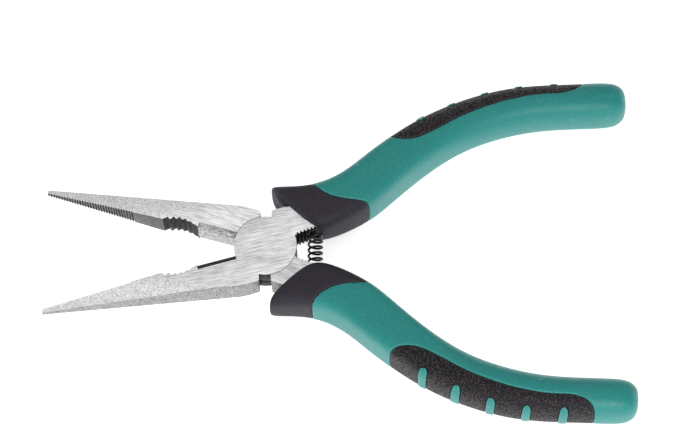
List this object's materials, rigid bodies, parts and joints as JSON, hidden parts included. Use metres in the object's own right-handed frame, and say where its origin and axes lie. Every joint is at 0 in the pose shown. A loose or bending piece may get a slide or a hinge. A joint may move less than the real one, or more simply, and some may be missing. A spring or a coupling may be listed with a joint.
{
  "type": "needle nose pliers",
  "caption": "Long-nosed hand pliers with toothed tapering jaws, a side cutter, a return spring behind the lap joint, and two-colour comfort grips.",
  "frame": {"origin": "on the pivot axis, at the underside of the steel joint", "axes": "+X from the pivot towards the handles, jaws towards -X; +Z along the pivot axis, upwards from the face the joint rests on; +Y across the tool"},
  "size_m": [0.1591, 0.0974, 0.0161],
  "materials": {
    "polished_steel": "ground and lightly brushed",
    "black_spring_steel": "blackened",
    "green_plastic": "satin moulded",
    "black_soft_plastic": "smooth satin",
    "black_grained_plastic": "pebble grain"
  },
  "bodies": {
    "upper_lap_half": {"upper_lap": "polished_steel", "pivot_rivet": "polished_steel", "return_spring": "black_spring_steel", "rear_sleeve": "green_plastic", "rear_guard": "black_soft_plastic", "rear_pad": "black_grained_plastic"},
    "lower_lap_half": {"lower_lap": "polished_steel", "front_sleeve": "green_plastic", "front_guard": "black_soft_plastic", "front_pad": "black_grained_plastic"}
  },
  "joints": [
    {"name": "pivot", "type": "hinge", "parent": "upper_lap_half", "child": "lower_lap_half", "pos_m": [0, 0, 0.00425], "axis": [0, 0, -1], "range_deg": [-31.2, 15], "stiffness_Nm_per_rad": 0.35, "deforming": ["return_spring"]}
  ]
}
